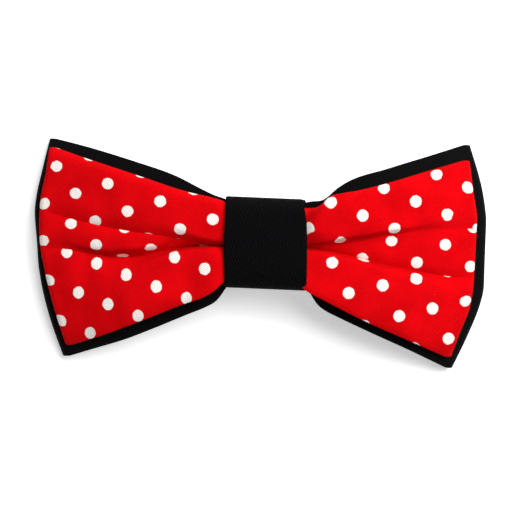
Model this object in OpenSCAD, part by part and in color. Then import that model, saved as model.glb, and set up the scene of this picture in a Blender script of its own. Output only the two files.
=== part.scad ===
// Clip-on bow tie: two looped bows of cloth, gathered together at the waist,
// wrapped by a centre band, with a sprung collar clip held under the band.
// The tie lies on its back: +X runs along the wings, +Y is up when worn,
// +Z points out of its front face, and z = 0 is what its wing corners rest on.

/* [Rear bow outline] */
// Left wing: distance out and up to its top corner, from the knot
rear_left_top = [57.8, 25.5]; // [15:0.1:70]
// Left wing: distance out and down to its bottom corner
rear_left_bottom = [52.0, 32.1]; // [15:0.1:70]
// Left wing: reach at mid height
rear_left_reach = 60.8; // [50:0.1:75]
// Right wing: distance out and up to its top corner
rear_right_top = [53.2, 28.4]; // [15:0.1:70]
// Right wing: distance out and down to its bottom corner
rear_right_bottom = [51.0, 31.3]; // [15:0.1:70]
// Right wing: reach at mid height
rear_right_reach = 58.9; // [50:0.1:75]

/* [Front bow outline] */
// Left wing: distance out and up to its top corner
front_left_top = [57.6, 22.6]; // [15:0.1:70]
// Left wing: distance out and down to its bottom corner
front_left_bottom = [51.6, 28.8]; // [15:0.1:70]
// Left wing: reach at mid height
front_left_reach = 60.0; // [50:0.1:75]
// Right wing: distance out and up to its top corner
front_right_top = [53.2, 23.7]; // [15:0.1:70]
// Right wing: distance out and down to its bottom corner
front_right_bottom = [50.4, 28.0]; // [15:0.1:70]
// Right wing: reach at mid height
front_right_reach = 56.6; // [50:0.1:75]

/* [Cloth] */
// Thickness of one folded wall of cloth
cloth_t = 0.6; // [0.4:0.05:0.8]
// Thickness of the interlining
lining_t = 0.35; // [0.2:0.05:0.5]
// Half thickness of a bow's loop at its outer fold
fold_r = 1.8; // [1.6:0.1:2.4]
// Extra half thickness of a loop in mid wing
belly = 0.6; // [0:0.1:1.5]
// Height of the underside above the table at the waist
waist_z = 9.8; // [9.6:0.1:12]
// Height of the underside above the table at mid height of the outer edge
edge_z = 3.0; // [2:0.1:5]

/* [Knot] */
// Width of the centre band along the wings
band_w = 21.3; // [18:0.1:22]
// Thickness of the band's wall
band_t = 1.25; // [0.8:0.05:1.25]
// Half height of the gathered waist
waist_y = 10.3; // [9.5:0.1:12]
// Diameter of the gathering thread
thread_d = 0.4; // [0.3:0.05:0.4]
// Number of turns of the gathering thread
thread_turns = 5; // [3:1:9]

/* [Clip] */
// Distance from the knot's middle to the jaw's tip
jaw_x = 17; // [14:0.5:18]
// Distance from the knot's middle to the handle's end
handle_x = 25; // [22:0.5:25]
// Thickness of the clip's sheet metal plate
plate_t = 0.7; // [0.5:0.05:0.7]
// Radius of the hinge pin
pin_r = 0.5; // [0.4:0.05:0.5]
// Number of teeth across the lever's tip
teeth = 4; // [3:1:6]

/* [Hidden] */
$fn = 48;

// The knot's middle, measured from the middle of the whole outline.
knot = [1.2, 1.85, 0];

red = [0.80, 0.02, 0.03];
black = [0.02, 0.02, 0.025];
lining_white = [0.85, 0.84, 0.80];
steel = [0.75, 0.75, 0.77];

// Each bow: [left wing, right wing], each wing [top corner, reach, bottom corner].
REAR = 0;
FRONT = 1;
outline = [
    [[rear_left_top, rear_left_reach, rear_left_bottom],
     [rear_right_top, rear_right_reach, rear_right_bottom]],
    [[front_left_top, front_left_reach, front_left_bottom],
     [front_right_top, front_right_reach, front_right_bottom]]];

waist_x = band_w / 2;    // the bows leave the band here
flare = [0.78, 0.92];    // how quickly each bow widens as it leaves the band
droop_power = 3.6;       // how late the wings bend down to the table
flat_share = 0.965;      // share of a wing's reach where its underside meets the table
pleat_run = 26;          // distance over which the pleats die out
pleat_cloth_t = 1.9;     // one wall of cloth in the waist, pleats included
pleat_lining_t = 0.4;    // interlining in the waist, pleats included
ply_gap = 0.15;          // between a wall and its interlining
edge_pinch = 0.3;        // share of thickness that the waist loses at its edges
edge_lift = 1.6;         // how much the waist's underside rises to its edges
bow_gap = 0.2;           // between the two bows
lining_share = 0.96;     // the interlining's height as a share of its bow's

half_waist = pleat_cloth_t + pleat_lining_t + 3 * ply_gap;
stack_h = 4 * half_waist + bow_gap;   // both bows together at the waist
stack_z = waist_z + stack_h / 2;      // middle of the gathered waist
fit = 0.05;                           // clearance between wrapped pieces

// Stations along a wall, from one fold to the other, and across it.
wing_steps = [0.1, 0.18, 0.23, 0.3, 0.4, 0.52, 0.66, 0.8, 0.92, 1];
wall_steps = concat([for (i = [len(wing_steps) - 1 : -1 : 0]) -wing_steps[i]], [0], wing_steps);
cross_steps = [-1, -0.85, -0.45, 0, 0.45, 0.85, 1];
fold_cuts = 5;

// ---- Shape of the bows ----

// Reach of bow b on one side (0 left, 1 right) at t, -1 at the bottom edge and 1 at the top.
function reach(b, side, t) =
    let (w = outline[b][side], out = w[1])
    out + (w[0].x - w[2].x) / 2 * t + ((w[0].x + w[2].x) / 2 - out) * t * t;

// Half height of bow b at distance ax from the knot, above (up) or below the middle.
function half_height(b, side, up, ax) =
    let (w = outline[b][side], tip = up ? w[0] : w[2],
         u = max(0, (ax - waist_x) / (tip.x - fold_r - waist_x)))
    waist_y + (tip.y - waist_y) * pow(u, flare[b]);

function height_at(b, side, t, ax) = t * half_height(b, side, t >= 0, ax);

// 1 in the waist, falling to 0 where the pleats have died out.
function pleated(ax) =
    pow(1 - min(1, max(0, ax - waist_x) / pleat_run), 1.5);

// What is left of a thickness near the waist's top and bottom edges.
function pinch(ax, t) = 1 - edge_pinch * pleated(ax) * pow(t, 4);

// Half thickness of a loop at distance ax from the knot, a share s of the reach.
function half_loop(ax, s, t) =
    (fold_r + (half_waist - fold_r) * pleated(ax)
     + belly * sin(180 * min(1, s)) * (1 - pleated(ax))) * pinch(ax, t);

// Depth of the four faces of a wall: cloth's outside and inside, interlining's outside and inside.
function depth(face, ax, t) =
    let (c = cloth_t + (pleat_cloth_t - cloth_t) * pleated(ax),
         l = lining_t + (pleat_lining_t - lining_t) * pleated(ax))
    [0, c, c + ply_gap, c + ply_gap + l][face] * pinch(ax, t);

// The rear bow's own share of height and of reach at a point [ax, y].
function rear_t(side, ax, y) = y / half_height(REAR, side, y >= 0, ax);
function rear_s(side, ax, y) = ax / reach(REAR, side, rear_t(side, ax, y));

// Height of the rear bow's underside, and of what bow b rests on, at a point [ax, y].
function underside(side, ax, y) =
    let (t = min(1, abs(rear_t(side, ax, y))),
         s = min(1, rear_s(side, ax, y) / flat_share))
    waist_z - (waist_z - edge_z) * pow(s, droop_power) - edge_z * s * s * t * t
    + edge_lift * pleated(ax) * pow(t, 8);

function rest_z(b, side, ax, y) =
    underside(side, ax, y)
    + (b == REAR ? 0 : bow_gap + 2 * half_loop(ax, rear_s(side, ax, y), rear_t(side, ax, y)));

// A point of a wall's face. q runs from -1 at the left fold to 1 at the right one,
// and turn is the angle round the loop: 90 on the front wall, -90 on the rear wall,
// and between them on a fold.
function wall_point(b, face, q, t, turn) =
    let (side = q < 0 ? 0 : 1,
         run = reach(b, side, t) - fold_r,
         ax = abs(q) * run,
         s = ax / reach(b, side, t),
         half = half_loop(ax, s, t),
         r = half - depth(face, ax, t),
         out = ax + r * cos(turn),
         y = height_at(b, side, t, ax),
         z = rest_z(b, side, ax, y) + half + r * sin(turn))
    [(side == 0 ? -1 : 1) * out, y, z];

// Once round the loop: along the front wall, round the right fold,
// back along the rear wall and round the left fold.
loop_stations = concat(
    [for (q = wall_steps) [q, 90]],
    [for (i = [1 : fold_cuts]) [1, 90 - 180 * i / (fold_cuts + 1)]],
    [for (i = [len(wall_steps) - 1 : -1 : 0]) [wall_steps[i], -90]],
    [for (i = [1 : fold_cuts]) [-1, -90 + 180 * i / (fold_cuts + 1)]]);

// A closed ply of bow b between two of its faces, its height cut to a share.
module ply(b, outer, inner, share = 1) {
    n = len(loop_stations);
    m = len(cross_steps);
    function at(i, j, f) = ((i % n) * m + j) * 2 + f;
    points = [for (st = loop_stations) for (t = cross_steps) for (face = [outer, inner])
        wall_point(b, face, st[0], t * share, st[1])];
    quads = concat(
        [for (i = [0 : n - 1]) for (j = [0 : m - 2])
            [at(i, j, 0), at(i + 1, j, 0), at(i + 1, j + 1, 0), at(i, j + 1, 0)]],
        [for (i = [0 : n - 1]) for (j = [0 : m - 2])
            [at(i, j, 1), at(i, j + 1, 1), at(i + 1, j + 1, 1), at(i + 1, j, 1)]],
        [for (i = [0 : n - 1])
            [at(i, 0, 0), at(i, 0, 1), at(i + 1, 0, 1), at(i + 1, 0, 0)]],
        [for (i = [0 : n - 1])
            [at(i, m - 1, 0), at(i + 1, m - 1, 0), at(i + 1, m - 1, 1), at(i, m - 1, 1)]]);
    polyhedron(points, [for (f = quads) for (k = [1, 2]) [f[0], f[k + 1], f[k]]]);
}

// A row of short stitches across the waist, sunk into the rear wall of bow b.
module loop_seam(b) {
    pitch = 2.4;
    stitch = 1.9;
    sink = 0.5;
    count = 7;
    z = rest_z(b, 1, 0, 0) + sink;
    for (i = [0 : count - 1])
        translate([0, (i - (count - 1) / 2) * pitch, z])
            rotate([90, 0, 0]) cylinder(d = 0.3, h = stitch, center = true, $fn = 16);
}

// ---- Knot ----

// A rectangle with round corners, size [across, up], centred.
module soft_rectangle(size, r) {
    square([size.x - 2 * r, size.y], center = true);
    square([size.x, size.y - 2 * r], center = true);
    for (sx = [-1, 1]) for (sy = [-1, 1])
        translate([sx * (size.x / 2 - r), sy * (size.y / 2 - r)]) circle(r);
}

// A ring round the waist, w wide along X. hole is its inner size in [y, z].
module waist_ring(w, hole, corner, wall, z) {
    translate([-w / 2, 0, z]) rotate([90, 0, 90]) linear_extrude(w) difference() {
        soft_rectangle(hole + [2 * wall, 2 * wall], corner + wall);
        soft_rectangle(hole, corner);
    }
}

thread_hole = [2 * (waist_y + fit), stack_h + 2 * fit];
thread_corner = 2;
// The clip's plate lies between the thread and the band's rear wall.
plate_top = stack_z - thread_hole.y / 2 - thread_d - fit;
plate_z = plate_top - plate_t;
band_low = plate_z - fit;
band_high = stack_z + thread_hole.y / 2 + thread_d + fit;
band_hole = [thread_hole.x + 2 * (thread_d + fit), band_high - band_low];
band_corner = 2.5;
band_z = (band_low + band_high) / 2;

module rear_bow() { color(black) ply(REAR, 0, 1); }

module rear_interlining() { color(lining_white) ply(REAR, 2, 3, lining_share); }

module rear_bow_seam() { color(black) loop_seam(REAR); }

module front_bow() { color(red) ply(FRONT, 0, 1); }

module front_interlining() { color(lining_white) ply(FRONT, 2, 3, lining_share); }

module front_bow_seam() { color(red) loop_seam(FRONT); }

module gather_thread() {
    pitch = thread_d * 1.2;
    color(black) for (i = [0 : thread_turns - 1])
        translate([(i - (thread_turns - 1) / 2) * pitch, 0, 0])
            waist_ring(thread_d, thread_hole, thread_corner, thread_d, stack_z);
}

module centre_band() {
    color(black) waist_ring(band_w, band_hole, band_corner, band_t, band_z);
}

// Slip stitches that close the band's overlap, on its rear face below the clip.
module band_stitches() {
    count = 7;
    length = 1.6;
    pitch = 2.8;
    thick = 0.2;
    seam_y = -6.2;
    color(black) for (i = [0 : count - 1])
        translate([(i - (count - 1) / 2) * pitch, seam_y, band_low - band_t - thick / 2])
            cube([0.3, length, thick], center = true);
}

// ---- Clip ----

lever_t = 0.6;
band_rear = band_low - band_t;       // outside of the band's rear wall
lever_top = band_rear - 0.4;
pin_x = 13.4;
pin_z = (lever_top + plate_z) / 2;
ear_t = 0.5;
lever_ear_y = 2.7;                   // inside of the lever's ears
plate_ear_y = 3.4;                   // inside of the plate's ears
bend_x = 16.4;                       // the lever's tail bends down from here
tail_drop = 1.5;                     // and is this much lower at its end
jaw_r = 2.7;                         // half width at the jaw's round tip
handle_y = 4.1;                      // half width of the handle
handle_r = 2.5;                      // radius of the handle's corners

// Plan of the clip's long sheet, from the round jaw tip to the handle.
module clip_plan() {
    translate([-jaw_x + jaw_r, 0]) circle(jaw_r);
    polygon([[-jaw_x + jaw_r, -jaw_r], [6, -handle_y], [handle_x - handle_r, -handle_y],
             [handle_x - handle_r, handle_y], [6, handle_y], [-jaw_x + jaw_r, jaw_r]]);
    square_y = handle_y - handle_r;
    translate([handle_x - 2 * handle_r, -square_y])
        square([2 * handle_r, 2 * square_y]);
    for (sy = [-1, 1]) translate([handle_x - handle_r, sy * square_y]) circle(handle_r);
}

// A lug round the hinge pin, in the plane y to y + ear_t, joined to its sheet
// by a web that reaches to web_z.
module ear(y, r, web_z, hole_r) {
    translate([pin_x, y + ear_t, 0]) rotate([90, 0, 0]) linear_extrude(ear_t)
        difference() {
            union() {
                translate([0, pin_z]) circle(r);
                translate([-r, min(pin_z, web_z)]) square([2 * r, abs(web_z - pin_z)]);
            }
            translate([0, pin_z]) circle(hole_r);
        }
}

module clip_plate() {
    color(steel) {
        translate([0, 0, plate_z]) linear_extrude(plate_t) clip_plan();
        for (y = [plate_ear_y, -plate_ear_y - ear_t])
            ear(y, 0.95, plate_z + plate_t / 2, pin_r + 0.01);
    }
}

// Height of the lever's upper face at x.
function tail_z(x) = lever_top - tail_drop * max(0, x - bend_x) / (handle_x - bend_x);

// The lever seen from the side: a flat jaw and a tail that bends down.
module lever_profile() {
    polygon([[-jaw_x, lever_top], [bend_x, lever_top], [handle_x, tail_z(handle_x)],
             [handle_x, tail_z(handle_x) - lever_t], [bend_x, lever_top - lever_t],
             [-jaw_x, lever_top - lever_t]]);
}

module clip_lever() {
    tooth_gap = 0.05;
    tooth_top = plate_z - tooth_gap;
    tooth_h = 0.7;
    tip_w = 4.4;
    lever_y = lever_ear_y + ear_t;   // narrow enough to turn between the plate's ears
    grip_d = 0.5;
    color(steel) {
        difference() {
            intersection() {
                rotate([90, 0, 0]) linear_extrude(2 * handle_y, center = true) lever_profile();
                linear_extrude(plate_z) clip_plan();
            }
            // Notches that let the lever turn between the plate's ears.
            for (sy = [-1, 1]) translate([pin_x, sy * (lever_y + 5), lever_top])
                cube([3.4, 10, 4], center = true);
        }
        for (y = [lever_ear_y, -lever_ear_y - ear_t])
            ear(y, 0.75, lever_top - lever_t / 2, pin_r + 0.05);
        // The jaw's end is bent up into a row of teeth.
        translate([-jaw_x + 0.9, 0, 0]) rotate([90, 0, 90]) linear_extrude(0.6) {
            translate([-tip_w / 2, lever_top - lever_t / 2])
                square([tip_w, tooth_top - tooth_h - lever_top + lever_t / 2]);
            for (i = [0 : teeth - 1])
                translate([-tip_w / 2 + i * tip_w / teeth, tooth_top - tooth_h])
                    polygon([[0, 0], [tip_w / teeth, 0], [tip_w / teeth / 2, tooth_h]]);
        }
        // Grip ribs under the thumb.
        for (x = [handle_x - 4.6, handle_x - 3.4, handle_x - 2.2])
            translate([x, 0, tail_z(x) - lever_t]) rotate([90, 0, 0])
                cylinder(d = grip_d, h = 4, center = true, $fn = 16);
    }
}

module clip_pin() {
    head_t = 0.4;
    span = 2 * (plate_ear_y + ear_t) + 0.04;
    color(steel) translate([pin_x, 0, pin_z]) rotate([90, 0, 0]) {
        cylinder(r = pin_r, h = span + 2 * head_t, center = true);
        for (sy = [-1, 1]) translate([0, 0, sy * (span + head_t) / 2])
            cylinder(r = pin_r + 0.3, h = head_t, center = true);
    }
}

// A leaf bent into a U behind the pin: one arm bears on the plate, the other on the lever's tail.
module clip_spring() {
    leaf = 0.25;
    width = 4.4;
    off = 0.03;
    bend = pin_x + 1.75;
    high = plate_z - off;
    low = lever_top + off;
    mid = (high + low) / 2;
    r = (high - low) / 2;
    arm = handle_x - 3.5;
    slope_low = low - tail_drop * (arm - bend_x) / (handle_x - bend_x);
    steps = 12;
    outer = [for (i = [0 : steps]) let (a = 90 + 180 * i / steps)
        [bend + r * cos(a), mid + r * sin(a)]];
    inner = [for (i = [steps : -1 : 0]) let (a = 90 + 180 * i / steps)
        [bend + (r - leaf) * cos(a), mid + (r - leaf) * sin(a)]];
    color(steel) rotate([90, 0, 0]) linear_extrude(width, center = true)
        polygon(concat([[arm, high]], outer,
                       [[bend_x, low], [arm, slope_low], [arm, slope_low + leaf],
                        [bend_x, low + leaf]],
                       inner, [[arm, high - leaf]]));
}

translate(knot) rear_bow();
translate(knot) rear_interlining();
translate(knot) rear_bow_seam();
translate(knot) front_bow();
translate(knot) front_interlining();
translate(knot) front_bow_seam();
translate(knot) gather_thread();
translate(knot) centre_band();
translate(knot) band_stitches();
translate(knot) clip_plate();
translate(knot) clip_lever();
translate(knot) clip_pin();
translate(knot) clip_spring();
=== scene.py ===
"""Looks for the layered clip-on bow tie: pleated cloth bows, wrapped band, spring and materials."""
import math

import bpy
import numpy as np
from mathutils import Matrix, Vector


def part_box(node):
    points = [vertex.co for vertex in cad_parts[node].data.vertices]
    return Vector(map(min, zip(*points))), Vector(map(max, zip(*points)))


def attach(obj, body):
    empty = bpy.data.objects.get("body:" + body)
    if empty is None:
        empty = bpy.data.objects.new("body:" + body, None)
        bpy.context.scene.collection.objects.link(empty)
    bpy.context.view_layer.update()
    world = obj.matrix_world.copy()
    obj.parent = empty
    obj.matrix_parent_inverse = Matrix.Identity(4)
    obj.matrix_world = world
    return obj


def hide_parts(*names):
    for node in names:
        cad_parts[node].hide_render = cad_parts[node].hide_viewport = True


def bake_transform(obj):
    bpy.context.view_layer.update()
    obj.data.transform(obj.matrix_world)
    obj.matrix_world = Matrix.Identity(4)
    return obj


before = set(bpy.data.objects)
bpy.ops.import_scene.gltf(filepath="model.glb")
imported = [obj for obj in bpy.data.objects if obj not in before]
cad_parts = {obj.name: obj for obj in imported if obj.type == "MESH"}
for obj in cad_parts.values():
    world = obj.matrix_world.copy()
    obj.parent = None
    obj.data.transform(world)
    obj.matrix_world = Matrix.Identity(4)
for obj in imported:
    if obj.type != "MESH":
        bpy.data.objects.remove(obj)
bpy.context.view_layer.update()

MM = 0.001

# ---------------------------------------------------------------- places taken from the frame, in mm

def box_mm(node):
    """Lowest and highest corners of a CAD node, in mm."""
    low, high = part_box(node)
    return np.array(low) / MM, np.array(high) / MM


band_low, band_high = box_mm("centre_band")
thread_low, thread_high = box_mm("gather_thread")
spring_low, spring_high = box_mm("clip_spring")
pin_low, pin_high = box_mm("clip_pin")
KNOT = (band_low + band_high) / 2            # the knot's middle
THREAD = 0.45                                # thickness of the gathering thread and its clearance
WAIST_LOW = thread_low[2] + THREAD           # underside of the gathered waist
WAIST_HIGH = thread_high[2] - THREAD         # and its top
STACK = WAIST_HIGH - WAIST_LOW

# How the wings hang, as in the frame: how low they are at mid height of their edge.
EDGE_Z = 3.0
DROOP_POWER = 3.6                            # how suddenly they bend down towards the tip
DROOP_SHARE = 0.965                          # share of the way to the tip at which they are lowest
CLOTH = 0.8                                  # thickness of one wall of cloth
half_cloth = CLOTH / 2
FOLD_R = 1.4                                 # radius of a loop's outer fold, to the cloth's middle


# ---------------------------------------------------------------- outlines, in mm from the knot's middle

def curve(points):
    """A smooth function through points [(x, y), ...] with rising x, straight beyond its ends.
    Between two points it never leaves their heights."""
    x, y = (np.array(c, float) for c in zip(*points))
    step = np.diff(x)
    rise = np.diff(y) / step
    slope = np.concatenate([rise[:1], np.zeros(len(x) - 2), rise[-1:]])
    slope[1:-1] = (rise[:-1] * step[1:] + rise[1:] * step[:-1]) / (step[1:] + step[:-1])
    steepest = 3 * np.minimum(abs(rise[:-1]), abs(rise[1:])) * (rise[:-1] * rise[1:] > 0)
    slope[1:-1] = np.clip(slope[1:-1], -steepest, steepest)

    def value(at):
        at = np.asarray(at, float)
        inside = np.clip(at, x[0], x[-1])
        i = np.clip(np.searchsorted(x, inside) - 1, 0, len(x) - 2)
        h = step[i]
        t = (inside - x[i]) / h
        smooth = ((1 + 2 * t) * (1 - t) ** 2 * y[i] + t * (1 - t) ** 2 * h * slope[i]
                  + t * t * (3 - 2 * t) * y[i + 1] + t * t * (t - 1) * h * slope[i + 1])
        return smooth + np.minimum(at - x[0], 0) * slope[0] + np.maximum(at - x[-1], 0) * slope[-1]

    return value


LEFT, RIGHT = 0, 1                           # the two wings, in the order of each pair below
SIGN = (-1, 1)

# Points are (distance out from the knot, height), and on a tip (height, distance out).
# VALLEYS are the two creases across each wing, the upper one first.
VALLEYS = (
    (curve([(0, -0.6), (11, -0.8), (16, -0.4), (21.8, 0.5), (38, 2.0), (46.2, 3.3), (60, 6.4)]),
     curve([(0, -1.2), (11, -1.2), (18.4, -1.6), (26.9, -3.3), (35, -4.9), (40, -4.9), (45.5, -4.1),
            (50, -3.7), (60, -3.6)])),
    (curve([(0, -0.6), (11, -0.65), (14.3, -0.3), (18, 0.75), (25.5, 2.1), (31, 3.3), (42.4, 5.3),
            (57, 6.3)]),
     curve([(0, -1.0), (11, -1.05), (14.3, -1.2), (19.6, -2.0), (25.5, -3.1), (35, -5.0), (42.4, -6.0),
            (48.6, -6.7), (57, -6.9)])),
)
FRONT = (
    {"top": curve([(0, 9.9), (9.5, 9.9), (11.5, 10.8), (13.9, 11.4), (21.2, 12.8), (34.1, 16.5),
                   (48.2, 20.6), (58.5, 23.8)]),
     "bottom": curve([(0, -10.1), (9.6, -10.0), (10.8, -10.7), (12, -12.3), (13.7, -13.7), (22, -17.4),
                      (34.5, -23.0), (44, -26.9), (52.1, -29.8)]),
     "tip": curve([(-29.8, 51.9), (-21.1, 54.8), (-11.2, 57.9), (-1.8, 59.9), (4.9, 60.3), (10, 60.1),
                   (16, 59.2), (23.8, 58.5)]),
     "corners": (23.8, -29.8)},
    {"top": curve([(0, 9.6), (11, 9.8), (13.6, 10.2), (15.0, 11.2), (16.2, 13.0), (18.6, 13.8),
                   (24, 15.0), (32, 17.4), (43.4, 21.4), (53.6, 24.9)]),
     "bottom": curve([(0, -10.1), (9.3, -10.5), (11, -11.9), (15.5, -14.1), (25, -18.5), (40.2, -24.6),
                      (50.9, -28.8)]),
     "tip": curve([(-28.8, 50.8), (-20.4, 53.3), (-16, 54.9), (-10.1, 55.8), (0.6, 56.0), (8.7, 56.1),
                   (16, 54.9), (24.9, 53.6)]),
     "corners": (24.9, -28.8)},
)
REAR = (
    {"top": curve([(0, 10.1), (9.5, 10.5), (11.2, 11.5), (13, 11.9), (16, 13.1), (24, 16.8), (36, 20.5),
                   (48, 23.7), (58.7, 26.1)]),
     "bottom": curve([(0, -10.2), (8.6, -10.4), (10.4, -13.2), (12, -15.7), (14, -17.0), (20, -19.8),
                      (28, -23.5), (36, -27.0), (44, -29.8), (52.8, -32.9)]),
     "tip": curve([(-32.9, 52.7), (-20, 57.3), (-11, 59.8), (-2, 60.9), (6, 61.8), (10, 61.5), (16, 60.5),
                   (26.1, 58.7)]),
     "corners": (26.1, -32.9)},
    {"top": curve([(0, 10.1), (10.2, 11.2), (12, 11.7), (14.2, 11.8), (16, 12.9), (18, 15.0), (20, 16.5),
                   (32, 21.3), (44, 25.6), (53.9, 29.3)]),
     "bottom": curve([(0, -10.2), (9.5, -10.4), (12.2, -12.2), (14.2, -15.4), (16, -16.8), (20, -18.7),
                      (28, -22.1), (40, -27.0), (51.5, -32.0)]),
     "tip": curve([(-32.0, 51.4), (-20, 56.0), (-14, 58.2), (-9, 59.0), (0, 58.9), (8, 58.9), (13, 58.3),
                   (29.3, 53.8)]),
     "corners": (29.3, -32.0)},
)

# Where each facet of a wing lies on the strip of cloth: a point of the strip (along, across),
# where that point is seen from the front, how far the facet's grain is turned, in degrees, how much
# cloth there is to a seen millimetre along and across the grain, and how far the cloth is sheared.
GRAIN = (
    (((-60.4, 10.04), (-60.9, 6.8), -15.2, (0.976, 1.033), 0),
     ((-0.55, 0.4), (0.1, -3.4), -1.0, (0.995, 1.07), 0),
     ((-62.45, -0.6), (-62.6, -4.8), 23.7, (1.048, 0.963), -0.072)),
    (((56.6, 9.93), (57.7, 7.3), 18.4, (0.979, 0.966), 0),
     ((0.8, -0.2), (0.1, -2.1), -0.8, (0.991, 1.028), 0),
     ((56.6, -3.1), (58.8, -5.2), -20.9, (0.976, 0.972), 0)),
)
UV_MM = 100                                  # millimetres of cloth to one unit of the UV map


# ---------------------------------------------------------------- pleated walls

UPPER, WEDGE, LOWER = 0, 1, 2                # the three facets that a wing's two creases make
FACET_STEPS, VALLEY_STEPS, WEDGE_STEPS = 9, 7, 4         # columns of a flat part, a valley and the wedge
WING_ROWS = 42                               # stations from the knot to a wing's fold
FOLD_ROWS = 7                                # rows round the fold
CREASE_END = 57                              # distance out at which the creases reach a wing's tip
WAIST_END, MID_WING = 0.17, 0.5              # shares of the way out where the waist ends, and mid wing
WEDGE_HOLLOW = 0.15                          # how hollow the wedge is where it is a slope


def smoothstep(x, low, high):
    t = np.clip((x - low) / (high - low), 0, 1)
    return t * t * (3 - 2 * t)


# Along each wing, how deep its two creases are and how far the wedge between them is sunk.
VALLEY_DEPTH = (
    (curve([(0, 2.8), (0.25, 2.8), (0.35, 2.2), (0.55, 1.4), (0.7, 1.3), (0.85, 0.7), (1, 0.12)]),
     curve([(0, 6.8), (0.35, 7.0), (0.5, 5.2), (0.62, 4.2), (0.72, 3.0), (0.8, 1.6), (0.9, 0.6),
            (1, 0.12)])),
    (curve([(0, 2.6), (0.25, 2.8), (0.5, 2.2), (0.75, 1.2), (1, 0.12)]),
     curve([(0, 5.4), (0.25, 5.4), (0.4, 5.0), (0.6, 4.2), (0.8, 2.8), (1, 0.12)])),
)
WEDGE_SINK = (curve([(0, 1.8), (0.35, 1.8), (0.5, 1.6), (0.65, 1.0), (0.8, 0.3), (1, 0)]),
              curve([(0, 4.2), (0.2, 3.8), (0.35, 3.5), (0.55, 3.0), (0.75, 2.0), (1, 0)]))
# How far the wedge is a level shelf, and not a slope from the upper crease down to the lower one.
WEDGE_SHELF = (curve([(0, 0), (0.38, 0), (0.55, 1), (1, 1)]),
               curve([(0, 0.2), (0.3, 0.5), (0.6, 1), (1, 1)]))

# How far each wing's two valleys reach above and below their creases, along the wing.
# A short reach is a lip that stands over the crease, and a long one is a gentle slope.
VALLEY_REACH = (
    (curve([(0, 1.3), (0.25, 1.5), (0.4, 3.0), (0.6, 4.2), (0.8, 4.5), (1, 5.5)]),
     curve([(0, 1.0), (0.5, 2.0), (0.7, 3.0), (1, 5.0)]),
     curve([(0, 1.5), (0.3, 3.5), (0.42, 4.0), (0.54, 2.5), (0.62, 2.3), (0.72, 1.5), (0.8, 1.4),
            (1, 4.0)]),
     curve([(0, 0.9), (0.35, 1.2), (0.5, 2.2), (0.62, 4.5), (0.8, 5.5), (1, 5.5)])),
    (curve([(0, 1.0), (0.3, 1.6), (0.7, 1.9), (1, 4.0)]),
     curve([(0, 2.0), (0.4, 2.5), (0.7, 3.0), (1, 5.0)]),
     curve([(0, 1.5), (0.3, 3.0), (0.6, 3.5), (0.8, 2.5), (1, 4.0)]),
     curve([(0, 0.8), (0.5, 1.4), (0.8, 2.6), (1, 5.0)])),
)
# How rounded each of them is: 0 is cloth that bends into a sharp crease, and 1 is a lip that rolls over
# into a steep wall.
SHARP, ROLLED = curve([(0, 0), (1, 0)]), curve([(0, 1), (1, 1)])
VALLEY_ROLL = ((SHARP, SHARP, curve([(0, 0), (0.4, 0), (0.55, 1), (1, 1)]),
                curve([(0, 0.3), (0.4, 0.3), (0.55, 0), (1, 0)])),
               (ROLLED, SHARP, SHARP, SHARP))


def dip(distance, width, roll):
    """1 in a crease and 0 from the valley's width outwards."""
    share = np.clip(1 - np.abs(distance) / width, 0, 1)
    return share * share * (1 + 2 * roll * (1 - share))


def facet_shares(side, s, top, valley_1, valley_2, bottom):
    """For each facet, where its columns are, from 1 at its upper border to 0 at its lower one. They
    stand closer together towards the creases and the wall's own edges."""
    eased = np.linspace(1, 0, VALLEY_STEPS + 1) ** 1.5
    flat = np.linspace(0, 1, FACET_STEPS + 1) ** 1.7
    reach = [float(width(s)) for width in VALLEY_REACH[side]]
    upper = min(reach[0] / (top - valley_1), 0.6)
    wedge_top = min(reach[1] / (valley_1 - valley_2), 0.4)
    wedge_low = min(reach[2] / (valley_1 - valley_2), 0.4)
    lower = min(reach[3] / (valley_2 - bottom), 0.6)
    return (
        np.concatenate([1 - (1 - upper) * flat[:-1], upper * eased]),
        np.concatenate([1 - wedge_top * eased[::-1],
                        np.linspace(1 - wedge_top, wedge_low, WEDGE_STEPS + 1)[1:-1], wedge_low * eased]),
        np.concatenate([1 - lower * eased[::-1], (1 - lower) * flat[-2::-1]]),
    )


def waves(x, y):
    """The slight unevenness of hand-pressed cloth."""
    return (0.16 * np.sin(0.31 * x + 0.22 * y + 0.7) * np.sin(0.17 * x - 0.29 * y + 1.9)
            + 0.09 * np.sin(0.62 * x - 0.4 * y) * np.sin(0.53 * y + 0.3 * x + 0.4))


def droop(side, x, y):
    """How far below the waist's level the rear bow's underside hangs at a point."""
    rear = REAR[side]
    t = np.clip(np.where(y > 0, y / rear["top"](x), y / rear["bottom"](x)), 0, 1)
    s = np.clip(x / rear["tip"](y) / DROOP_SHARE, 0, 1)
    return (WAIST_LOW - EDGE_Z) * s ** DROOP_POWER + EDGE_Z * (s * t) ** 2


# Ridges that the band squeezes up beside it: facet, where it starts, a point that it runs through, how
# high it is, and how far it reaches towards the band and away from it.
RIDGES = (
    ((LOWER, (13.2, -3.0), (13.6, -11.5), 1.0, 2.2, 5.0),),
    ((UPPER, (11.6, 3.2), (14.8, 10.2), 3.0, 1.5, 8.0),),
)
# Hollows pressed into a facet: facet, middle, half size inward, outward and up, and depth.
HOLLOWS = (((LOWER, (46.3, -8.0), 13, 3.2, 6.0, 1.5),), ())


# The front wall rolls down at its upper and lower borders.
EDGE_DROP = (1.4, 0, 0.5)                    # how far, by facet
EDGE_ROLL = 0.75                             # within about what distance
EDGE_INSET = (0.25, 0.1)                     # how much less it reaches up and down for that


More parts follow.
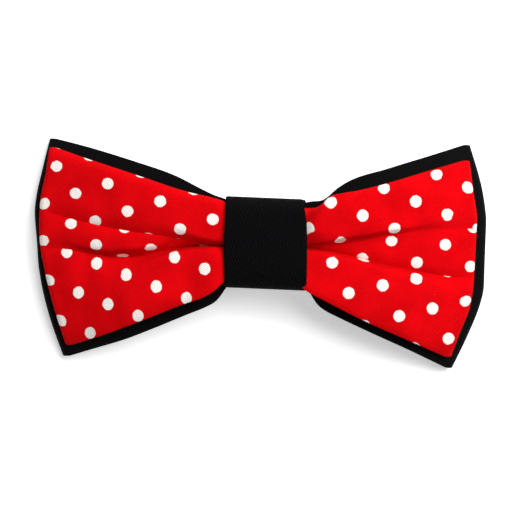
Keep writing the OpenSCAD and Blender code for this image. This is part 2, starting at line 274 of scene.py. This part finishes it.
def dressing(side, facet, x, y, border):
    """Height that a front wall's ridges, hollows and rolled borders add."""
    height = -EDGE_DROP[facet] * np.exp(-(abs(border - y) / EDGE_ROLL) ** 1.5)
    for where, low, high, rise, inward, outward in RIDGES[side]:
        if where == facet:
            run = np.subtract(high, low) / math.dist(high, low)
            along = (x - low[0]) * run[0] + (y - low[1]) * run[1]
            aside = (x - low[0]) * abs(run[1]) - (y - low[1]) * run[0] * np.sign(run[1])
            width = np.where(aside < 0, inward, outward)
            height = height + rise * np.exp(-(aside / width) ** 2) * smoothstep(along, -3, 2)
    for where, middle, inward, outward, tall, depth in HOLLOWS[side]:
        if where == facet:
            width = np.where(x < middle[0], inward, outward)
            spread = np.abs((x - middle[0]) / width) ** 1.5 + ((y - middle[1]) / tall) ** 2
            height = height - depth * np.exp(-spread)
    return height


LINING = 0.3                                 # thickness of the interlining
LINING_GAP = half_cloth + LINING / 2 + 0.05  # from the cloth's middle to the interlining's
LINING_WIDEN = 0.7                           # how much further its valleys reach than the cloth's
LINING_SLACK = 0.8                           # share of the rear wall's pleats that it follows
LINING_INSET = 2.2                           # how far its edges stay inside the cloth's


class Wall:
    """One wall of a bow's loop. levels are its heights above the rear bow's underside at the waist,
    in mid wing and at the tip, and pleats is the share of the pleats' depth that it takes. crown is how
    far its facets bulge, widen how much further its valleys reach, and a dressed wall has the front
    bow's ridges, hollows and rolled borders."""

    def __init__(self, levels, pleats, crown=0.0, widen=0.0, dressed=False):
        self.levels = levels
        self.pleats = pleats
        self.crown = crown
        self.widen = widen
        self.dressed = dressed

    def height(self, side, s, x, y, facet, share, creases, border):
        """How high a facet's points stand at station s. share is where each is between the facet's
        borders, creases are the y of the two creases there, and border that of the wall's own edge."""
        waist, middle, tip = self.levels
        level = (waist + (middle - waist) * smoothstep(s, WAIST_END, MID_WING)
                 + (tip - middle) * smoothstep(s, MID_WING, 1))
        depth = [self.pleats * float(valley(s)) for valley in VALLEY_DEPTH[side]]
        reach = [float(width(s)) + self.widen for width in VALLEY_REACH[side]]
        roll = [float(lip(s)) for lip in VALLEY_ROLL[side]]
        flat = self.crown * smoothstep(s, 0.1, 0.5) * (1 - (2 * share - 1) ** 2)
        if facet == WEDGE:
            sink = self.pleats * float(WEDGE_SINK[side](s))
            whole = creases[0] - creases[1]
            down = (creases[0] - y) / whole
            slope = depth[0] + (depth[1] - depth[0]) * down * (1 - WEDGE_HOLLOW + WEDGE_HOLLOW * down)
            shelf = (sink + (depth[0] - sink) * dip(creases[0] - y, np.minimum(reach[1], whole), roll[1])
                     + (depth[1] - sink) * dip(y - creases[1], np.minimum(reach[2], whole), roll[2]))
            shelved = float(WEDGE_SHELF[side](s))
            drop = slope + (shelf - slope) * shelved
        elif facet == UPPER:
            drop = depth[0] * dip(y - creases[0], reach[0], roll[0])
        else:
            drop = depth[1] * dip(creases[1] - y, reach[3], roll[3])
        if self.dressed:
            flat = flat + dressing(side, facet, x, y, border)
        uneven = waves(SIGN[side] * x, y) * min(1, 3 * s)
        return WAIST_LOW + level + flat - drop - droop(side, x, y) + uneven


def wall_section(bow, side, s, wall, inset=0.0):
    """Each facet's points across a wall at station s, in mm from the knot, and their cloth places."""
    outline = bow[side]
    crease_1, crease_2 = VALLEYS[side]
    ends = (outline["corners"][0], float(crease_1(CREASE_END)), float(crease_2(CREASE_END)),
            outline["corners"][1])
    tip_shares = facet_shares(side, 1.0, *ends)
    mid = s * float(outline["tip"](0))
    here = (float(outline["top"](mid)), float(crease_1(mid)), float(crease_2(mid)),
            float(outline["bottom"](mid)))
    shares = facet_shares(side, s, *here)
    less = [inset + amount * wall.dressed for amount in EDGE_INSET]
    borders = (lambda x: outline["top"](x) - less[0], crease_1, crease_2,
               lambda x: outline["bottom"](x) + less[1])
    facets = []
    for facet in (UPPER, WEDGE, LOWER):
        tip_y = ends[facet + 1] + (ends[facet] - ends[facet + 1]) * tip_shares[facet]
        x = s * (outline["tip"](tip_y) - FOLD_R - CLOTH / 2)
        high, low = borders[facet](x), borders[facet + 1](x)
        share = shares[facet]
        y = low + (high - low) * share
        creases = (crease_1(x), crease_2(x))
        z = wall.height(side, s, x, y, facet, share, creases, low if facet == LOWER else high)
        points = np.stack([SIGN[side] * x, y, z], 1)
        facets.append((points, cloth_place(side, facet, points, float(WEDGE_SHELF[side](s)))))
    return facets


# A slope takes up cloth, and the print moves by so many times the cloth that it takes up.
WEDGE_TUCK = (1.9, 1.0)                      # on each wing's wedge
LIP_TUCK = (0.3, 1.0)                        # and on the lower facet, between its middle and its crease
# How far the print is drawn up at a wall's own edges, by wing and facet, and within what distance.
PRINT_PULL = ((0.9, 0, 0), (0, 0, -0.7))
PULL_REACH = 1.6


def cloth_place(side, facet, points, shelved):
    """Where a facet's points are on the flat strip. The print keeps its place in mid facet, and on the
    wedge at the upper crease where it is a slope, and in its middle where it is a shelf."""
    (along, across), seen, turn, ease, shear = GRAIN[side][facet]
    turn = math.radians(turn)
    x, y = points[:, 0] - seen[0], points[:, 1] - seen[1]
    up = y * math.cos(turn) - x * math.sin(turn)
    u = along + ease[0] * (x * math.cos(turn) + y * math.sin(turn)) + shear * up
    v = across + ease[1] * up
    step = np.diff(points, axis=0)
    spare = np.hypot(step[:, 1], step[:, 2]) - abs(step[:, 1])
    taken = np.concatenate([[0], np.cumsum(spare)])
    border = points[0 if facet == UPPER else -1, 1]
    v = v - PRINT_PULL[side][facet] * np.exp(-((points[:, 1] - border) / PULL_REACH) ** 2)
    if facet == UPPER:
        v = v + taken[FACET_STEPS // 2] - taken
    elif facet == LOWER:
        moved = taken[-1 - FACET_STEPS // 2] - taken
        v = v + moved * np.where(moved > 0, LIP_TUCK[side], 1)
    else:
        v = v + (taken[len(taken) // 2] * shelved - taken) * WEDGE_TUCK[side]
    return np.stack([u, v], 1)


def loop_rows(bow, front, rear, fold_r, inset=0.0):
    """The rows of a bow's closed loop: front wall from left to right, fold, rear wall and fold."""
    stations = np.linspace(0, 1, WING_ROWS + 1) ** 0.9       # a little closer together towards the tip

    def walled(wall, side):
        return [wall_section(bow, side, s, wall, inset) for s in stations]

    faces = {(name, side): walled(wall, side)
             for name, wall in (("front", front), ("rear", rear)) for side in (LEFT, RIGHT)}

    def fold(side):
        rows = []
        for i in range(1, FOLD_ROWS + 1):
            turn = math.pi * i / (FOLD_ROWS + 1)
            row = []
            for (top, place), (low, _) in zip(faces["front", side][-1], faces["rear", side][-1]):
                points = (top + low) / 2
                half = (top[:, 2] - low[:, 2]) / 2
                points[:, 2] += half * math.cos(turn)
                points[:, 0] += SIGN[side] * fold_r * math.sin(turn)
                row.append((points, place + [SIGN[side] * fold_r * turn, 0]))
            rows.append(row)
        return rows

    def turned(side):
        """The rear wall's rows, whose cloth goes on past the fold and back towards the knot."""
        past_fold = SIGN[side] * math.pi * fold_r
        rows = []
        for row in faces["rear", side]:
            rows.append([
                (points, np.stack([2 * tip[:, 0] - place[:, 0] + past_fold, place[:, 1]], 1))
                for (points, place), (_, tip) in zip(row, faces["rear", side][-1])])
        return rows

    return (faces["front", LEFT][:0:-1] + faces["front", RIGHT] + fold(RIGHT)
            + turned(RIGHT)[:0:-1] + turned(LEFT) + fold(LEFT)[::-1])


def new_object(name, points, faces, uvs=None):
    """A mesh object from points in mm, whose x and y are from the knot's middle."""
    shift = [KNOT[0], KNOT[1], 0]
    mesh = bpy.data.meshes.new(name)
    mesh.from_pydata([tuple((np.array(p) + shift) * MM) for p in points], [], faces)
    if uvs is not None:
        layer = mesh.uv_layers.new(name="cloth")
        layer.data.foreach_set("uv", (np.array(uvs, float) / UV_MM).ravel())
    for polygon in mesh.polygons:
        polygon.use_smooth = True
    mesh.update()
    piece = bpy.data.objects.new(name, mesh)
    bpy.context.scene.collection.objects.link(piece)
    return piece


def thicken(piece, thickness, levels=1):
    """Gives a piece its thickness, half on each side, and softens it."""
    solid = piece.modifiers.new("thickness", "SOLIDIFY")
    solid.thickness = thickness * MM
    solid.offset = 0
    soft = piece.modifiers.new("softness", "SUBSURF")
    soft.levels = soft.render_levels = levels
    soft.uv_smooth = "NONE"
    return piece


LOOP_SEAM = 40                               # jump in the strip's length that only its ends make, in mm


def loop_mesh(name, bow, front, rear, thickness, fold_r=FOLD_R, inset=0.0):
    """A bow's closed loop of cloth, whose strip begins and ends behind the knot."""
    rows = loop_rows(bow, front, rear, fold_r, inset)
    points, faces, uvs = [], [], []
    for row in rows:
        for facet, (place, _) in enumerate(row):
            points.extend(place if facet == UPPER else place[1:])
    width = len(points) // len(rows)
    for r, row in enumerate(rows):
        after = rows[(r + 1) % len(rows)]
        column = 0
        for (_, cloth), (_, cloth_after) in zip(row, after):
            for j in range(len(cloth) - 1):
                a, b = r * width + column, (r + 1) % len(rows) * width + column
                faces.append((a, a + 1, b + 1, b))
                near, far = cloth_after[j], cloth_after[j + 1]
                if abs(cloth[j][0] - near[0]) > LOOP_SEAM:
                    near, far = cloth[j], cloth[j + 1]
                uvs.extend([cloth[j], cloth[j + 1], far, near])
                column += 1
    piece = new_object(name, points, faces, uvs)
    return thicken(piece, thickness)


# Heights of the four walls' middles above the rear bow's underside: waist, mid wing, tip.
rear_tip = half_cloth + 0.15
REAR_BACK = Wall((2.6, 2.3, rear_tip), 0.4)
REAR_FACE = Wall((5.0, 4.6, rear_tip + 2 * FOLD_R), 0.55)
front_tip = rear_tip + 2 * FOLD_R + CLOTH + 0.2
FRONT_BACK = Wall((6.9, 6.4, front_tip), 0.7)
FRONT_FACE = Wall((STACK - half_cloth - 0.1, 9.9, front_tip + 2 * FOLD_R), 1.0, crown=0.5, dressed=True)

rear_bow = loop_mesh("rear_bow_cloth", REAR, REAR_FACE, REAR_BACK, CLOTH)
front_bow = loop_mesh("front_bow_cloth", FRONT, FRONT_FACE, FRONT_BACK, CLOTH)


def lining(name, bow, face, back):
    """A bow's interlining: a thinner loop that lies against the inside of its cloth."""
    inner_face = Wall([h - LINING_GAP for h in face.levels], face.pleats, face.crown, LINING_WIDEN,
                      face.dressed)
    inner_back = Wall([h + LINING_GAP for h in back.levels], back.pleats * LINING_SLACK)
    return loop_mesh(name, bow, inner_face, inner_back, LINING, FOLD_R - LINING_GAP, LINING_INSET)


front_lining = lining("front_interlining_cloth", FRONT, FRONT_FACE, FRONT_BACK)
rear_lining = lining("rear_interlining_cloth", REAR, REAR_FACE, REAR_BACK)


# ---------------------------------------------------------------- centre band, its stitches and the spring

def rounded_path(corners, radii, spacing):
    """Points along a line in a plane from corner to corner, each inner corner rounded to its radius."""
    corners = np.array(corners, float)
    path = [corners[0]]

    def straight_to(end):
        start = path[-1]
        count = max(1, round(math.dist(start, end) / spacing))
        path.extend(start + (end - start) * i / count for i in range(1, count + 1))

    for before, corner, after, radius in zip(corners, corners[1:], corners[2:], radii):
        come = (corner - before) / math.dist(corner, before)
        leave = (after - corner) / math.dist(after, corner)
        turn = math.acos(np.clip(come @ leave, -1, 1))
        setback = radius * math.tan(turn / 2)
        straight_to(corner - come * setback)
        inward = (leave - come * (come @ leave)) / math.sin(turn)
        start = path[-1]
        steps = max(3, round(radius * turn / spacing))
        for i in range(1, steps + 1):
            angle = turn * i / steps
            path.append(start + come * radius * math.sin(angle) + inward * radius * (1 - math.cos(angle)))
    straight_to(corners[-1])
    return np.array(path)


def strip_mesh(name, path, edges, thickness, columns, levels=1, place=lambda x, y, z: (x, y, z)):
    """A strip swept along path. edges(i) gives its two borders at point i of the path."""
    run = np.concatenate([[0], np.cumsum(np.hypot(*np.diff(path, axis=0).T))])
    points, faces, uvs = [], [], []
    for i, (first, second) in enumerate(path):
        low, high = edges(i)
        points.extend(place(x, first, second) for x in np.linspace(low, high, columns + 1))
    for i in range(len(path) - 1):
        for j in range(columns):
            a = i * (columns + 1) + j
            b = a + columns + 1
            faces.append((a, a + 1, b + 1, b))
            uvs.extend((points[k][0], run[r]) for k, r in ((a, i), (a + 1, i), (b + 1, i + 1), (b, i + 1)))
    return thicken(new_object(name, points, faces, uvs), thickness, levels)


BAND_T = 0.9                                 # thickness of the band's folded strip
BAND_LEFT = curve([(-12, -10.3), (-7, -10.4), (-1, -10.9), (7, -10.8), (12, -10.9)])   # (height, edge)
BAND_RIGHT = curve([(-12, 11.4), (-6, 11.3), (0, 11.1), (6, 10.7), (12, 9.5)])
BAND_REAR = 10.6                             # half width behind the knot
BAND_CROWN = 1.3                             # how far the front face bows out
CROWN_REACH = 14                             # and how far to each side that would fade to nothing
BAND_FRONT_R, BAND_REAR_R = 3.8, 2.4         # its corners' radii
LAP_START, LAP_END = -9.6, -6.2              # heights where the strip begins, and ends over its beginning
LAP_GAP = 0.02                               # between the lap and the rear wall

band_half = (band_high[1] - band_low[1]) / 2 - BAND_T / 2
band_back = band_low[2] + 0.7                # middle of the rear wall
band_front = band_high[2] - BAND_T / 2 - 0.7
lap_z = band_back - BAND_T - LAP_GAP         # middle of the lap that is sewn over the rear wall


def centre_band():
    """The folded strip that goes once round the knot, with its end lapped over its beginning."""
    path = rounded_path([(LAP_START, band_back), (band_half, band_back), (band_half, band_front),
                         (-band_half, band_front), (-band_half, lap_z), (LAP_END, lap_z)],
                        [BAND_REAR_R, BAND_FRONT_R, BAND_FRONT_R, BAND_REAR_R], 0.8)

    def edges(i):
        y, z = path[i]
        front = float(smoothstep(z, band_back, (band_back + band_front) / 2))
        return (front * BAND_LEFT(y) - (1 - front) * BAND_REAR,
                front * BAND_RIGHT(y) + (1 - front) * BAND_REAR)

    def place(x, y, z):
        front = float(smoothstep(z, band_front - 1.5, band_front))
        crown = BAND_CROWN * (1 - (x / CROWN_REACH) ** 2) * math.cos(0.5 * math.pi * y / band_half)
        return x, y, z + front * (crown + 0.06 * math.sin(0.9 * x + 0.5 * y) * math.sin(0.7 * y + 1))

    return strip_mesh("centre_band_cloth", path, edges, BAND_T, 22, 2, place)


def tubes(name, routes, radius, sides=8):
    """Round threads along routes of points in mm, as one mesh with capped ends."""
    points, faces = [], []
    for route in routes:
        route = np.array(route, float)
        for k, at in enumerate(route):
            ahead = route[min(k + 1, len(route) - 1)] - route[max(k - 1, 0)]
            ahead /= np.linalg.norm(ahead)
            side = np.cross(ahead, (1, 0, 0) if abs(ahead[0]) < 0.9 else (0, 1, 0))
            side /= np.linalg.norm(side)
            up = np.cross(side, ahead)
            first = len(points)
            for turn in np.linspace(0, 2 * math.pi, sides, endpoint=False):
                points.append(at + radius * (math.cos(turn) * side + math.sin(turn) * up))
            if k:
                faces.extend((first - sides + j, first - sides + (j + 1) % sides,
                              first + (j + 1) % sides, first + j) for j in range(sides))
            if k in (0, len(route) - 1):
                ring = tuple(range(first, first + sides))
                faces.append(ring if k else ring[::-1])
    return new_object(name, points, faces)


STITCHES, STITCH_PITCH, STITCH_R = 7, 2.8, 0.14          # how many, how far apart, and the thread's radius


def band_stitches():
    """Slip stitches that slant over the lap's edge, from the rear wall up on to the lap."""
    surface, lap_surface = band_back - BAND_T / 2, lap_z - BAND_T / 2
    routes = []
    for i in range(STITCHES):
        x = (i - (STITCHES - 1) / 2) * STITCH_PITCH
        routes.append([(x + dx, LAP_END + dy, z) for dx, dy, z in (
            (0.30, 0.75, surface + 0.25), (0.28, 0.65, surface - 0.05), (0.2, 0.4, surface - 0.4),
            (0.1, 0.12, lap_surface + 0.15), (0, -0.2, lap_surface - 0.12),
            (-0.14, -0.6, lap_surface - 0.14), (-0.24, -0.85, lap_surface - 0.02),
            (-0.28, -0.95, lap_surface + 0.25))])
    return tubes("band_stitches_thread", routes, STITCH_R)


LEAF_T = 0.25                                # thickness of the spring's leaf
LEAF_CORNER = 1.1                            # radius of the corners at its ends
SLOPE_AT = 3.0                               # how far past the pin its lower arm starts to slope


def leaf_spring():
    """A leaf bent into a U behind the pin, its upper arm on the plate and its lower one on the lever."""
    high, tail_z = spring_high[2] - LEAF_T / 2, spring_low[2] + LEAF_T / 2
    mid = (pin_low[2] + pin_high[2]) / 2
    arm, back = spring_high[0] - KNOT[0], spring_low[0] - KNOT[0] + LEAF_T / 2
    slope_start = (pin_low[0] + pin_high[0]) / 2 - KNOT[0] + SLOPE_AT
    low = 2 * mid - high
    radius = (high - low) / 2
    path = rounded_path([(arm, high), (back, high), (back, low), (slope_start, low), (arm, tail_z)],
                        [radius * 0.98, radius * 0.98, 1.5], 0.35)
    half = (spring_high[1] - spring_low[1]) / 2
    ends = np.minimum(np.hypot(*(path - path[0]).T), np.hypot(*(path - path[-1]).T))
    inset = LEAF_CORNER - np.sqrt(np.maximum(0, LEAF_CORNER ** 2 - np.maximum(0, LEAF_CORNER - ends) ** 2))

    def edges(i):
        return inset[i] - half, half - inset[i]

    return strip_mesh("clip_spring_leaf", path, edges, LEAF_T, 8, 1, lambda y, x, z: (x, y, z))


band = centre_band()
stitches = band_stitches()
spring = leaf_spring()


# ---------------------------------------------------------------- materials

class Shader:
    """A material's node tree, with short calls for the nodes used here."""

    def __init__(self, name):
        self.material = bpy.data.materials.new(name)
        self.material.use_nodes = True
        self.tree = self.material.node_tree
        self.tree.nodes.clear()
        self.surface = self.node("ShaderNodeBsdfPrincipled")
        output = self.node("ShaderNodeOutputMaterial")
        self.tree.links.new(self.surface.outputs[0], output.inputs[0])

    def node(self, kind, **settings):
        made = self.tree.nodes.new(kind)
        for key, value in settings.items():
            setattr(made, key, value)
        return made

    def link(self, value, socket):
        if isinstance(value, bpy.types.NodeSocket):
            self.tree.links.new(value, socket)
        elif value is not None:
            socket.default_value = value

    def math(self, operation, a, b=None, c=None):
        made = self.node("ShaderNodeMath", operation=operation)
        for value, socket in zip((a, b, c), made.inputs):
            self.link(value, socket)
        return made.outputs[0]

    def vector(self, operation, a, b=None):
        made = self.node("ShaderNodeVectorMath", operation=operation)
        for value, socket in zip((a, b), made.inputs):
            self.link(value, socket)
        return made.outputs["Value" if operation in ("LENGTH", "DOT_PRODUCT") else "Vector"]

    def split(self, vector):
        made = self.node("ShaderNodeSeparateXYZ")
        self.link(vector, made.inputs[0])
        return made.outputs

    def mix(self, share, a, b):
        made = self.node("ShaderNodeMix", data_type="RGBA")
        for value, socket in zip((share, a, b), (made.inputs[0], made.inputs[6], made.inputs[7])):
            self.link(value, socket)
        return made.outputs[2]

    def noise(self, vector, scale, detail=2.0):
        made = self.node("ShaderNodeTexNoise")
        self.link(vector, made.inputs["Vector"])
        made.inputs["Scale"].default_value = scale
        made.inputs["Detail"].default_value = detail
        return made.outputs["Fac"]

    def ramp(self, value, low, high, start=0.0, end=1.0):
        """value from low to high becomes start to end, smoothly."""
        made = self.node("ShaderNodeMapRange", interpolation_type="SMOOTHSTEP")
        for v, socket in zip((value, low, high, start, end), made.inputs):
            self.link(v, socket)
        return made.outputs[0]

    def bump(self, height, distance, strength=1.0):
        made = self.node("ShaderNodeBump")
        made.inputs["Strength"].default_value = strength
        made.inputs["Distance"].default_value = distance * MM
        self.link(height, made.inputs["Height"])
        self.tree.links.new(made.outputs[0], self.surface.inputs["Normal"])

    def set(self, **values):
        for key, value in values.items():
            self.link(value, self.surface.inputs[key.replace("_", " ")])

    def cloth_mm(self):
        """The cloth's own coordinates, in mm along and across the strip."""
        uv = self.node("ShaderNodeUVMap", uv_map="cloth").outputs[0]
        return self.vector("MULTIPLY", uv, (UV_MM, UV_MM, 0))


DOT_PITCH = (14.25, 10.7)                    # along and across the strip, every other row between
DOT_AT = (5.1, 5.2)                          # one dot's place on the strip
DOT_TURN = math.radians(-1.17)               # the print's turn on the cloth
DOT_R = 1.51


def dot_distance(shader, cloth):
    """Distance in mm from the middle of the nearest dot of a staggered print."""
    placed = shader.node("ShaderNodeMapping", vector_type="TEXTURE")
    shader.link(cloth, placed.inputs["Vector"])
    placed.inputs["Location"].default_value = (*DOT_AT, 0)
    placed.inputs["Rotation"].default_value = (0, 0, DOT_TURN)
    placed.inputs["Scale"].default_value = (*DOT_PITCH, 1)
    distances = []
    for shift in (0.5, 0.0):
        cell = shader.vector("FRACTION", shader.vector("ADD", placed.outputs[0], (shift, shift, 0.5)))
        offset = shader.vector("SUBTRACT", cell, (0.5, 0.5, 0.5))
        distances.append(shader.vector("LENGTH", shader.vector("MULTIPLY", offset, (*DOT_PITCH, 0))))
    return shader.math("MINIMUM", *distances)


def weave_height(shader, cloth, pitch):
    """Plain weave: threads that pass over and under each other."""
    along, across, _ = shader.split(cloth)
    turn = math.pi / pitch
    first = shader.math("SINE", shader.math("MULTIPLY", along, turn))
    second = shader.math("SINE", shader.math("MULTIPLY", across, turn))
    return shader.math("MULTIPLY", first, second)


def dotted_cotton():
    """Red plain-weave cotton printed with white dots, whose borders bleed a little."""
    shader = Shader("dotted_cotton")
    cloth = shader.cloth_mm()
    blotch = shader.noise(cloth, 0.11, 3.0)
    grain = shader.noise(cloth, 2.4, 3.0)
    bleed = shader.math("MULTIPLY", shader.math("SUBTRACT", shader.noise(cloth, 1.3, 4.0), 0.5), 0.34)
    distance = shader.math("ADD", dot_distance(shader, cloth), bleed)
    dot = shader.ramp(distance, DOT_R - 0.09, DOT_R + 0.09, 1.0, 0.0)
    shade = shader.math("ADD", shader.math("MULTIPLY", blotch, 0.6), shader.math("MULTIPLY", grain, 0.4))
    red = shader.mix(shader.ramp(shade, 0.3, 0.7), (0.52, 0.0006, 0.0022, 1), (0.74, 0.0012, 0.0040, 1))
    white = shader.mix(shader.ramp(grain, 0.3, 0.7), (0.82, 0.76, 0.70, 1), (0.93, 0.90, 0.86, 1))
    weave = weave_height(shader, cloth, 0.34)
    shader.set(Base_Color=shader.mix(dot, red, white), Roughness=0.95, Specular_IOR_Level=0.03)
    shader.bump(shader.math("ADD", weave, shader.math("MULTIPLY", grain, 1.2)), 0.045)
    return shader.material


def black_twill(name, steep, pitch, light, rough, gloss):
    """Black cotton twill: fine slanting ribs."""
    shader = Shader(name)
    cloth = shader.cloth_mm()
    along, across, _ = shader.split(cloth)
    wander = shader.math("MULTIPLY", shader.noise(cloth, 0.5, 2.0), 1.1)
    slant = shader.math("ADD", shader.math("MULTIPLY_ADD", across, steep, along), wander)
    rib = shader.math("SINE", shader.math("MULTIPLY", slant, 2 * math.pi / pitch))
    thread = shader.math("SINE", shader.math("MULTIPLY", across, 2 * math.pi / 0.33))
    fuzz = shader.noise(cloth, 3.2, 3.0)
    tone = shader.math("MULTIPLY_ADD", rib, 0.35, fuzz)
    dark = tuple(light * c for c in (0.0035, 0.0035, 0.0042)) + (1,)
    pale = tuple(light * c for c in (0.011, 0.011, 0.0125)) + (1,)
    shader.set(Base_Color=shader.mix(shader.ramp(tone, 0.2, 0.95), dark, pale), Roughness=rough,
               Specular_IOR_Level=gloss)
    height = shader.math("ADD", rib, shader.math("MULTIPLY", thread, 0.35))
    shader.bump(shader.math("ADD", height, shader.math("MULTIPLY", fuzz, 0.8)), 0.05)
    return shader.material


def use(piece, material):
    """Gives a piece one material."""
    piece.data.materials.clear()
    piece.data.materials.append(material)


def interlining(name, color):
    """Fused, unwoven stiffener: short matted fibres."""
    shader = Shader(name)
    cloth = shader.cloth_mm()
    fibres = shader.noise(cloth, 1.6, 5.0)
    dark = tuple(0.75 * c for c in color) + (1,)
    shader.set(Base_Color=shader.mix(shader.ramp(fibres, 0.35, 0.65), dark, tuple(color) + (1,)),
               Roughness=0.95, Specular_IOR_Level=0.1)
    shader.bump(fibres, 0.08)
    return shader.material


def object_mm(shader):
    """Object coordinates in mm, for pieces without a UV map."""
    place = shader.node("ShaderNodeTexCoord").outputs["Object"]
    return shader.vector("MULTIPLY", place, (1 / MM, 1 / MM, 1 / MM))


def sewing_thread(name, color):
    """Spun thread: plies that wind round it, with a little fuzz."""
    shader = Shader(name)
    place = object_mm(shader)
    x, y, z = shader.split(place)
    slant = shader.math("ADD", shader.math("ADD", x, y), z)
    ply = shader.math("SINE", shader.math("MULTIPLY", slant, 2 * math.pi / 0.35))
    fuzz = shader.noise(place, 5.0, 3.0)
    tone = shader.math("MULTIPLY_ADD", ply, 0.3, fuzz)
    dark = tuple(0.6 * c for c in color) + (1,)
    shader.set(Base_Color=shader.mix(shader.ramp(tone, 0.2, 0.9), dark, tuple(color) + (1,)),
               Roughness=0.7, Specular_IOR_Level=0.2)
    shader.bump(tone, 0.03)
    return shader.material


def sheet_metal(name, color, rough):
    """Plated sheet steel: faint drawing lines along X, handling scratches and uneven polish."""
    shader = Shader(name)
    place = object_mm(shader)
    lines = shader.noise(shader.vector("MULTIPLY", place, (0.05, 2.2, 2.2)), 1.6, 4.0)
    smears = shader.noise(place, 0.35, 3.0)
    scratch = shader.noise(shader.vector("MULTIPLY", place, (1.4, 0.08, 1.4)), 2.0, 2.0)
    wear = shader.ramp(scratch, 0.62, 0.7)
    worn = tuple(0.72 * c for c in color) + (1,)
    tint = shader.math("ADD", shader.math("MULTIPLY", lines, 0.5), shader.math("MULTIPLY", smears, 0.5))
    shader.set(Base_Color=shader.mix(shader.ramp(tint, 0.35, 0.65), worn, tuple(color) + (1,)),
               Metallic=1.0,
               Roughness=shader.math("ADD", shader.ramp(tint, 0.3, 0.7, rough - 0.06, rough + 0.08),
                                     shader.math("MULTIPLY", wear, 0.1)))
    shader.bump(shader.math("ADD", lines, shader.math("MULTIPLY", wear, -0.5)), 0.012)
    return shader.material


COTTON = dotted_cotton()
TWILL = black_twill("black_twill", -0.9, 0.6, 0.3, 0.85, 0.08)
BAND_TWILL = black_twill("band_twill", -0.5, 0.75, 0.4, 0.85, 0.03)
INTERLINING = interlining("interlining", (0.72, 0.69, 0.62))
DARK_INTERLINING = interlining("dark_interlining", (0.05, 0.05, 0.055))
RED_THREAD = sewing_thread("red_thread", (0.55, 0.01, 0.012))
BLACK_THREAD = sewing_thread("black_thread", (0.02, 0.02, 0.022))
NICKEL = sheet_metal("nickel_plate", (0.72, 0.70, 0.66), 0.26)
SPRING_STEEL = sheet_metal("spring_steel", (0.50, 0.50, 0.51), 0.32)

LOOKS = (
    (front_bow, COTTON, "dotted_cotton", "front_bow"),
    (rear_bow, TWILL, "black_twill", "rear_bow"),
    (front_lining, INTERLINING, "interlining", "front_interlining"),
    (rear_lining, DARK_INTERLINING, "interlining", "rear_interlining"),
    (band, BAND_TWILL, "black_twill", "centre_band"),
    (stitches, BLACK_THREAD, "black_thread", "band_stitches"),
    (spring, SPRING_STEEL, "spring_steel", "clip_spring"),
)
for piece, material, slot, node in LOOKS:
    use(piece, material)
    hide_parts(node)
    if piece is not spring:
        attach(piece, "bow")

for node, material in (("clip_plate", NICKEL), ("clip_lever", NICKEL), ("clip_pin", NICKEL),
                       ("gather_thread", BLACK_THREAD), ("rear_bow_seam", BLACK_THREAD),
                       ("front_bow_seam", RED_THREAD)):
    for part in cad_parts[node].material_slots:
        part.material = material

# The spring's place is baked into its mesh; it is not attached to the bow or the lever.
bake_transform(spring)


# ---------------------------------------------------------------- stage, light and camera

floor = bpy.data.meshes.new("floor")
floor.from_pydata([(-3, -3, 0), (3, -3, 0), (3, 3, 0), (-3, 3, 0)], [], [(0, 1, 2, 3)])
floor = bpy.data.objects.new("floor", floor)
bpy.context.scene.collection.objects.link(floor)
paper = Shader("floor_paper")
paper.set(Base_Color=(0.93, 0.93, 0.93, 1), Roughness=0.9, Specular_IOR_Level=0.1,
          Emission_Color=(1, 1, 1, 1), Emission_Strength=0.45)
floor.data.materials.append(paper.material)


def area_light(name, at, size, power, aim=(0, 0, 0.01)):
    """A square lamp at a place in metres, turned towards the tie."""
    lamp = bpy.data.lights.new(name, "AREA")
    lamp.shape, lamp.size, lamp.energy = "SQUARE", size, power
    placed = bpy.data.objects.new(name, lamp)
    placed.location = at
    placed.rotation_euler = (Vector(aim) - Vector(at)).to_track_quat("-Z", "Y").to_euler()
    bpy.context.scene.collection.objects.link(placed)


area_light("key", (0.55, 0.58, 1.15), 1.1, 30.5)
area_light("fill", (-0.3, -0.2, 1.2), 1.2, 0.8)
world = bpy.data.worlds.new("studio")
world.use_nodes = True
world.node_tree.nodes["Background"].inputs[0].default_value = (1, 1, 1, 1)
world.node_tree.nodes["Background"].inputs[1].default_value = 0.13
bpy.context.scene.world = world
bpy.context.scene.view_settings.view_transform = "Standard"

VIEW_W = 0.1344                              # width of the floor that the camera takes in
DISTANCE = 1.0
camera_data = bpy.data.cameras.new("camera")
camera_data.sensor_width = 36
camera_data.lens = 36 * DISTANCE / VIEW_W
camera_data.clip_end = 20
camera = bpy.data.objects.new("camera", camera_data)
camera.location = (-0.0020, -0.0007, DISTANCE + 0.008)
camera.rotation_euler = (0, 0, math.radians(2.4))
bpy.context.scene.collection.objects.link(camera)
bpy.context.scene.camera = camera
